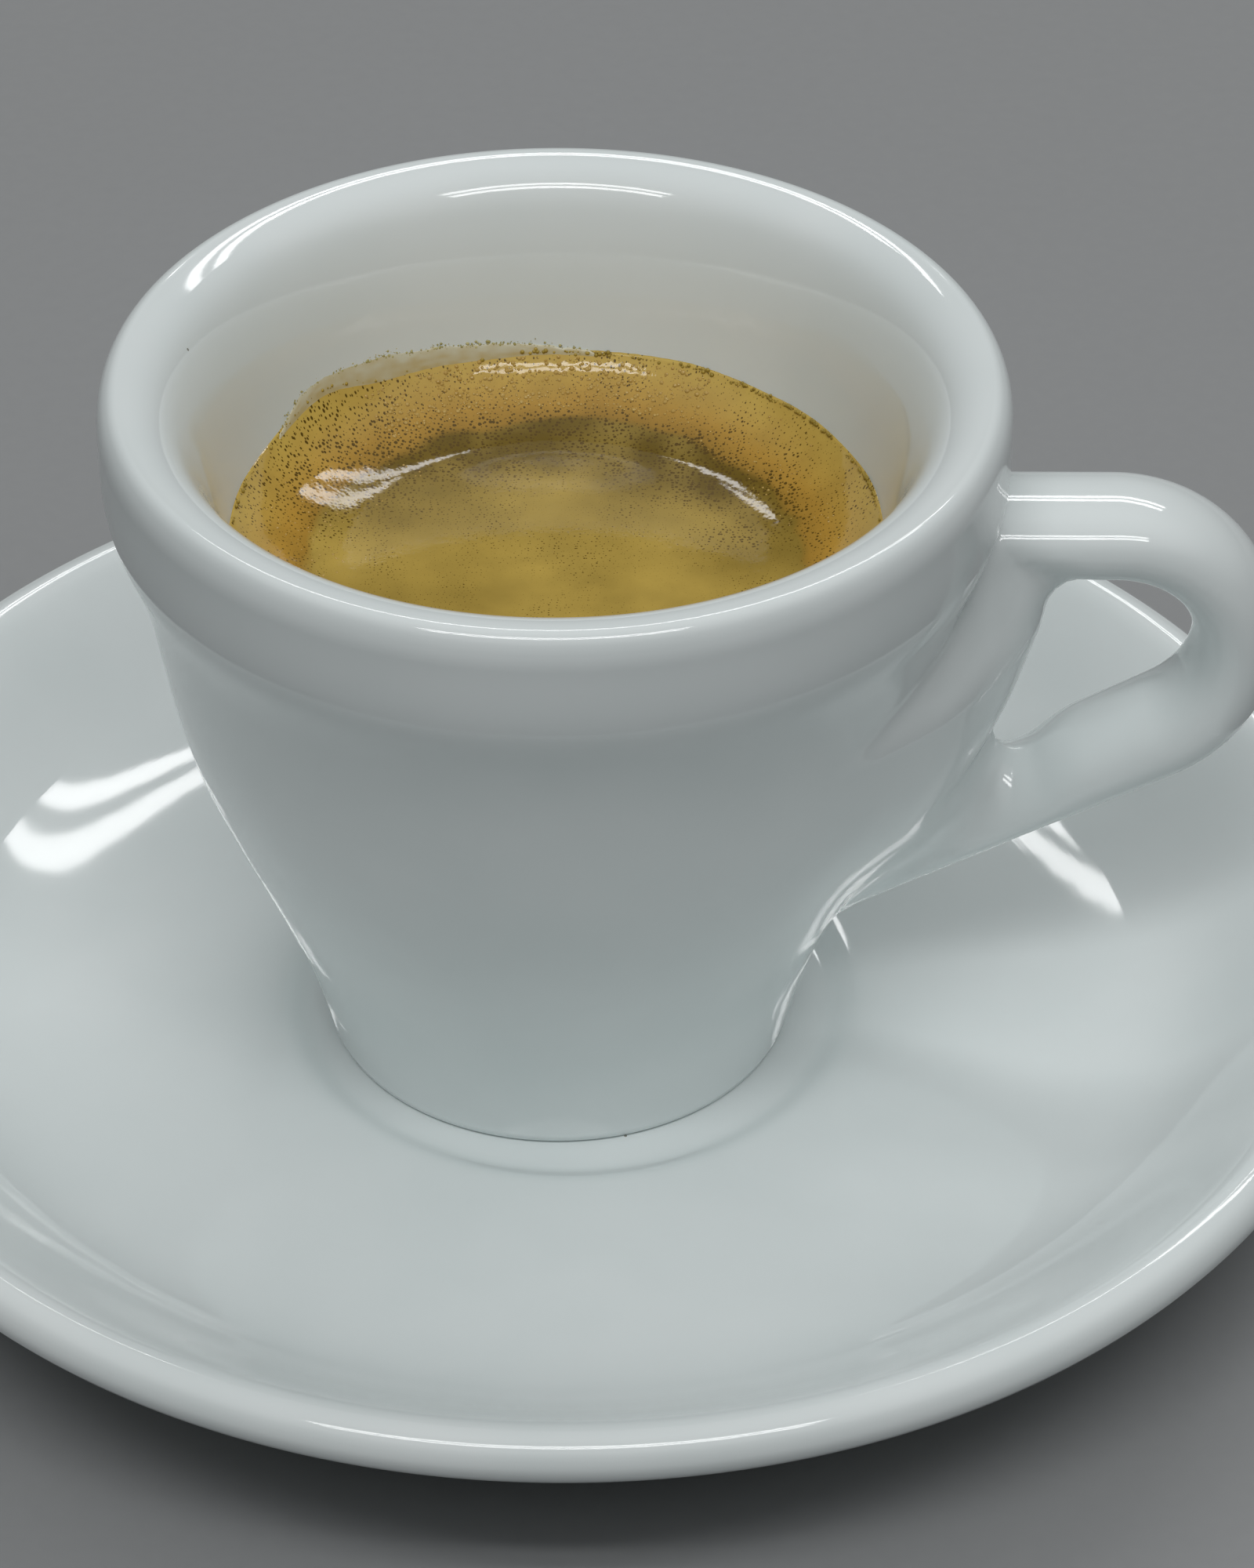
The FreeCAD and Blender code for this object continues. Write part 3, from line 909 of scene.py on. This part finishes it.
def make_crema():
    """Wet foam: ochre band and olive middle by the radius, pores as dots, bubbles as relief."""
    material, tree, shader, place = new_material("crema_wet_foam")
    band = add(tree, "Attribute", attribute_name="band").outputs["Fac"]
    shade = add(tree, "Attribute", attribute_name="shade").outputs["Fac"]
    pores = add(tree, "Attribute", attribute_name="pores").outputs["Fac"]

    cloud = add(tree, "TexNoise", {"Vector": place}, {"Scale": per_mm(FOAM_CLOUD), "Detail": 4.0})
    middle = add(tree, "Mix", data_type="RGBA", inputs={"A": colour("#B0964A"), "B": colour("#6E5A20")},
                 links={"Factor": shade})
    ring = add(tree, "ValToRGB", {"Fac": band})
    stops = ring.color_ramp.elements
    stops[0].position, stops[0].color = 0.0, colour("#967430")
    stops[1].position, stops[1].color = 1.0, colour("#CBAE58")
    halfway = stops.new(0.35)
    halfway.color = colour("#B58D3C")
    on_band = add(tree, "Math", {0: band}, {1: 9.0}, operation="MULTIPLY", use_clamp=True)
    body = add(tree, "Mix", {"Factor": on_band.outputs[0], "A": middle.outputs["Result"],
                             "B": ring.outputs["Color"]}, data_type="RGBA")
    mottled = add(tree, "Mix", {"A": body.outputs["Result"], "B": cloud.outputs["Fac"]},
                  {"Factor": 0.25}, data_type="RGBA", blend_type="OVERLAY")

    cells = add(tree, "TexVoronoi", {"Vector": place}, {"Scale": per_mm(PORE_APART)},
                voronoi_dimensions="2D")
    size = add(tree, "Math", {0: pores}, {1: 0.47}, operation="MULTIPLY")
    some = add(tree, "Math", {0: size.outputs[0], 1: cells.outputs["Color"]}, operation="MULTIPLY")
    hole = add(tree, "Math", {0: some.outputs[0], 1: cells.outputs["Distance"]}, operation="SUBTRACT")
    dot = add(tree, "Math", {0: hole.outputs[0]}, {1: 9.0}, operation="MULTIPLY", use_clamp=True)
    dotted = add(tree, "Mix", {"Factor": dot.outputs[0], "A": mottled.outputs["Result"]},
                 {"B": colour("#5F4A1E")}, data_type="RGBA")
    tree.links.new(dotted.outputs["Result"], shader.inputs["Base Color"])

    bubbles = add(tree, "TexVoronoi", {"Vector": place}, {"Scale": per_mm(BUBBLE_APART)},
                  voronoi_dimensions="2D")
    bumps = add(tree, "Bump", {"Height": bubbles.outputs["Distance"]},
                {"Strength": 1.0, "Distance": BUBBLE_RELIEF * MM}, invert=True)
    tree.links.new(bumps.outputs[0], shader.inputs["Normal"])
    shader.inputs["Roughness"].default_value = 0.06
    shader.inputs["IOR"].default_value = 1.4
    return material


crema = make_crema()


# %% Drink
def make_drink():
    """Hidden sides from the floor up the wall, then the foam from its edge in to the middle."""
    t = np.arange(DRINK_AROUND) * TAU / DRINK_AROUND
    edge = foam_edge(t)
    floor = rounded((0, FLOOR_T), (FLOOR_R, FLOOR_T), MOUTH, FLOOR_ROUND, 5)
    side = np.array([(1.0, FLOOR_T), *floor[::2]])
    hidden = turned(side[:, 0], side[:, 1], DRINK_AROUND)
    out = wall_inside_r(edge) + INTO_WALL
    share = np.linspace(1, 0.012, FOAM_RINGS)[:, None] ** 0.9
    r = out * share
    foam = np.stack([r * np.cos(t), r * np.sin(t), foam_height(r, t + 0 * r)], -1)
    body = np.concatenate([hidden, foam])
    middle_z = float(foam[-1, :, 2].mean())
    points, faces = closed_turning(body, [(0, 0, FLOOR_T)], [(0, 0, middle_z)])
    drink = piece_from("espresso_with_crema", points + CUP_AT, faces, crema, ["espresso"])

    x, y = points[:, 0], points[:, 1]
    r, angle = np.hypot(x, y), np.arctan2(y, x)
    wobble = 0.5 * lumps(x, y, 4, 11) + 0.25 * lumps(x, y, 1.3, 12)
    inner = 17.9 + 0.45 * np.sin(angle) + wobble
    band = ((r - inner) / (24 - inner)).clip(0, 1)
    back = ease(y + 0.35 * x.clip(0), 1, 16) * ease(r, 5, 17)
    shade = (back * (0.85 + 0.3 * lumps(x, y, 2.5, 13)) + 0.12 + 0.25 * lumps(x, y, 5, 15)).clip(0, 1)
    left = ease(-x, -2, 16) * 0.75
    pores = (0.45 * left * ease(r, 14, 20) + back * 0.8 * (1 - 0.75 * ease(r, 18.5, 20.5))
             + 0.46 + 0.3 * lumps(x, y, 3, 14)).clip(0, 1.3)
    add_attribute(drink, "band", "FLOAT", band)
    add_attribute(drink, "shade", "FLOAT", shade)
    add_attribute(drink, "pores", "FLOAT", pores)
    return drink


make_drink()

# %% [markdown]
# ## Bubbles, crumbs and dried dots
# These small things are what makes foam look like foam.  A bump in the material would catch the light,
# but wouldn't stand up along the edge.  So each is a low dome, the same few faces every time, sized and
# turned to the skin it sits on.  They are strewn by a seeded generator, so that every run gives the
# same cup.


# %% Domes
def wall_at(angle, z):
    """A point of the inner wall and the direction out of it, into the cup."""
    r = wall_inside_r(z)
    lean = unit((MOUTH[1] - FLOOR_T, -(MOUTH[0] - FLOOR_R)))
    points = np.stack([r * np.cos(angle), r * np.sin(angle), z], -1)
    normals = np.stack([-lean[0] * np.cos(angle), -lean[0] * np.sin(angle), -lean[1] + 0 * z], -1)
    return points, normals


def foam_at(angle, r):
    """A point of the foam and the direction out of it, from small steps along and across."""
    def point(a, b):
        return np.stack([b * np.cos(a), b * np.sin(a), foam_height(b, a)], -1)
    d = 0.1
    along = point(angle + d / r, r) - point(angle - d / r, r)
    across = point(angle, r + d) - point(angle, r - d)
    normals = np.cross(across, along)
    return point(angle, r), normals / np.linalg.norm(normals, axis=1)[:, None]


def domes(centres, normals, radii, height, rings=3, around=8):
    """Flattened half balls: ring k at angle q stands height*sin q high and is cos q wide, base closed."""
    q = np.arange(rings) * math.pi / 2 / rings
    t = np.arange(around) * TAU / around
    shape = np.stack([np.outer(np.cos(q), np.cos(t)), np.outer(np.cos(q), np.sin(t)),
                      np.outer(height * np.sin(q), np.ones(around)) - 0.12], -1).reshape(-1, 3)
    shape = np.vstack([shape, (0, 0, height - 0.12)])
    one = ring_faces(rings, around).reshape(-1, 4).tolist()
    one += cap_faces(rings * around, (rings - 1) * around, around, False).tolist()
    one.append(list(range(around))[::-1])
    side = np.cross(normals, (0.3, 0.5, 0.81))
    side /= np.linalg.norm(side, axis=1)[:, None]
    other = np.cross(normals, side)
    basis = np.stack([side, other, normals], -1) * radii[:, None, None]
    points = centres[:, None] + np.einsum("nij,mj->nmi", basis, shape)
    faces = [[i + n * len(shape) for i in face] for n in range(len(centres)) for face in one]
    return points.reshape(-1, 3), faces


# %% Bubble film
def make_bubble_skin():
    """A film of coffee round air: nearly the foam's own colour, but much smoother."""
    material, tree, shader, place = new_material("coffee_bubble_film")
    cloud = add(tree, "TexNoise", {"Vector": place}, {"Scale": per_mm(2.0)})
    tint = add(tree, "ValToRGB", {"Fac": cloud.outputs["Fac"]})
    tint.color_ramp.elements[0].color = colour("#B08A3A")
    tint.color_ramp.elements[1].color = colour("#CDB06A")
    tree.links.new(tint.outputs["Color"], shader.inputs["Base Color"])
    shader.inputs["Roughness"].default_value = 0.05
    shader.inputs["IOR"].default_value = 1.4
    return material


bubble_skin = make_bubble_skin()

# %% Bubbles
# Each crowd: how many, between which degrees, between which radii, smallest and largest bubble radius.
CROWDS = [(620, 60, 130, 19.8, 23.3, 0.07, 0.22), (90, 128, 178, 15.5, 22.0, 0.05, 0.11),
          (60, 165, 205, 15.0, 22.5, 0.05, 0.10), (70, 5, 60, 17.5, 22.8, 0.05, 0.12)]


def make_bubbles():
    """A crowd of bubbles on the far band, a few along the left and in front."""
    draw = np.random.default_rng(21)
    angle, r, size = [], [], []
    for count, first, last, near, far, small, large in CROWDS:
        angle.append(np.radians(draw.uniform(first, last, count)))
        r.append(draw.uniform(near, far, count))
        size.append(small + (large - small) * draw.uniform(0, 1, count) ** 2.5)
    angle, r, size = np.concatenate(angle), np.concatenate(r), np.concatenate(size)
    centres, normals = foam_at(angle, r)
    points, faces = domes(centres, normals, size, 0.75)
    return piece_from("crema_bubbles", points + CUP_AT, faces, bubble_skin)


make_bubbles()

# %% [markdown]
# ## Dried film
# Where the cup was tilted or the stream hit the wall, a thin film has run back and dried pale.  It could
# be painted on the porcelain, but it has a thickness that catches light at its edge, so it is a strip of
# its own that lies on the wall.

# %% Film on the wall
FILM_FROM, FILM_TO = 82, 154
FILM_TOP_FROM, FILM_TOP_TO = 84, 134
FILM_LOW_Z = 43.75
FILM_RISE = 0.043
FILM_T = 0.09
FILM_STEPS, FILM_ACROSS = 420, 26


def film_top(angle):
    """Height of the film's upper edge: a steady rise from the back to the splash, a fall past it, ragged."""
    degrees = np.degrees(angle)
    rise = FILM_LOW_Z + FILM_RISE * (np.clip(degrees, FILM_TOP_FROM, FILM_TOP_TO) - FILM_TOP_FROM)
    fall = 2.4 * ease(degrees, 139, 156)
    ragged = 0.14 * lumps(24 * angle, 0 * angle, 0.9, 31)
    return rise - fall + ragged + 0.05 * lumps(24 * angle, 0 * angle, 0.3, 32)


def make_film_material():
    """Foam dried thin: half matt, pale at its edge where the white shows through, ochre by the drink."""
    material, tree, shader, place = new_material("crema_film_dried_thin")
    cloud = add(tree, "TexNoise", {"Vector": place}, {"Scale": per_mm(1.6), "Detail": 3.0})
    strength = add(tree, "Attribute", attribute_name="strength").outputs["Fac"]
    some = add(tree, "Math", {0: strength, 1: cloud.outputs["Fac"]}, operation="ADD")
    tint = add(tree, "MapRange", {"Value": some.outputs[0]}, {"From Min": 0.35, "From Max": 1.5})
    mixed = add(tree, "Mix", {"Factor": tint.outputs["Result"]},
                {"A": colour("#D3CFB6"), "B": colour("#BFA55C")}, data_type="RGBA")
    tree.links.new(mixed.outputs["Result"], shader.inputs["Base Color"])
    shader.inputs["Roughness"].default_value = 0.3
    return material


def make_film():
    """A strip on the wall from under the foam to its ragged edge; its thickness thins out to nothing."""
    angle = np.radians(np.linspace(FILM_FROM, FILM_TO, FILM_STEPS))[:, None]
    s = np.linspace(0, 1, FILM_ACROSS)[None, :]
    top = film_top(angle)
    bottom = np.minimum(foam_edge(angle) - 0.4, top - 0.2)
    z = bottom + (top - bottom) * s
    points, normals = wall_at(angle + 0 * s, z)
    ends = ease(angle, angle[0] - 0.001, angle[12]) * ease(-angle, -angle[-1] - 0.001, -angle[-13])
    lift = (FILM_T * (1 - s ** 6) * ends - FILM_T / 3)[..., None]
    front, back = points + normals * lift, points - normals * 0.12
    both = np.concatenate([front, back[:, ::-1]], 1)
    around = both.shape[1]
    flat = both.reshape(-1, 3)
    faces = ring_faces(FILM_STEPS, around).reshape(-1, 4).tolist()
    faces.append(list(range(around))[::-1])
    faces.append(list(range(len(flat) - around, len(flat))))
    film = piece_from("crema_film_on_wall", flat + CUP_AT, faces, make_film_material())
    strong = (1 - s + 0 * angle) * 0.6 + 0.25 * lumps(30 * angle, 6 * s, 1.0, 33)
    add_attribute(film, "strength", "FLOAT", np.concatenate([strong, strong[:, ::-1]], 1).ravel())
    return film


make_film()

# %% [markdown]
# ## Dried dots and crumbs
# The film's upper edge is a fringe of tiny olive dots, and round the rest of the cup the foam's edge has
# dried to mustard crumbs.  They are the same domes as the bubbles, nearly matt and strewn more flatly.


# %% Dots and crumbs
def make_dried_material(name, pale, dark):
    """Dried coffee: two browns mottled, nearly matt."""
    material, tree, shader, place = new_material(name)
    cloud = add(tree, "TexNoise", {"Vector": place}, {"Scale": per_mm(0.7), "Detail": 2.0})
    tint = add(tree, "ValToRGB", {"Fac": cloud.outputs["Fac"]})
    tint.color_ramp.elements[0].position, tint.color_ramp.elements[1].position = 0.35, 0.65
    tint.color_ramp.elements[0].color, tint.color_ramp.elements[1].color = colour(dark), colour(pale)
    tree.links.new(tint.outputs["Color"], shader.inputs["Base Color"])
    shader.inputs["Roughness"].default_value = 0.45
    return material


def make_dots():
    """Olive dots thick along the film's upper edge, thinning out below it and above it."""
    draw = np.random.default_rng(41)
    count = 420
    angle = np.radians(84 + 66 * draw.uniform(0, 1, count))
    z = film_top(angle) - 0.05 + draw.normal(0, 0.16, count) - 0.5 * (draw.uniform(0, 1, count) > 0.8)
    size = 0.035 + 0.10 * draw.uniform(0, 1, count) ** 3
    centres, normals = wall_at(angle, z)
    points, faces = domes(centres, normals, size, 0.5, 2, 7)
    return piece_from("dried_dots_on_wall", points + CUP_AT, faces,
                      make_dried_material("coffee_dried_dots", "#C9C088", "#A59C5C"))


def make_crumbs():
    """Mustard crumbs in clumps on the foam's edge, from the back round to the right."""
    draw = np.random.default_rng(42)
    count = 560
    angle = np.radians(np.r_[draw.uniform(2, 95, count), draw.uniform(95, 180, count // 8)])
    clump = lumps(30 * angle, 0 * angle, 1.1, 43)
    keep = draw.uniform(-1, 1, len(angle)) < 1.6 * clump + 0.1
    angle, clump = angle[keep], clump[keep]
    z = foam_edge(angle) + 0.08 + 0.10 * clump + draw.normal(0, 0.07, len(angle))
    size = 0.05 + 0.15 * draw.uniform(0, 1, len(angle)) ** 2.5
    centres, normals = wall_at(angle, z)
    points, faces = domes(centres + 0.05 * normals, normals, size, 0.8, 2, 7)
    return piece_from("dried_crumbs_on_edge", points + CUP_AT, faces,
                      make_dried_material("coffee_dried_crumbs", "#B89E44", "#9C842F"))


make_dots()
make_crumbs()
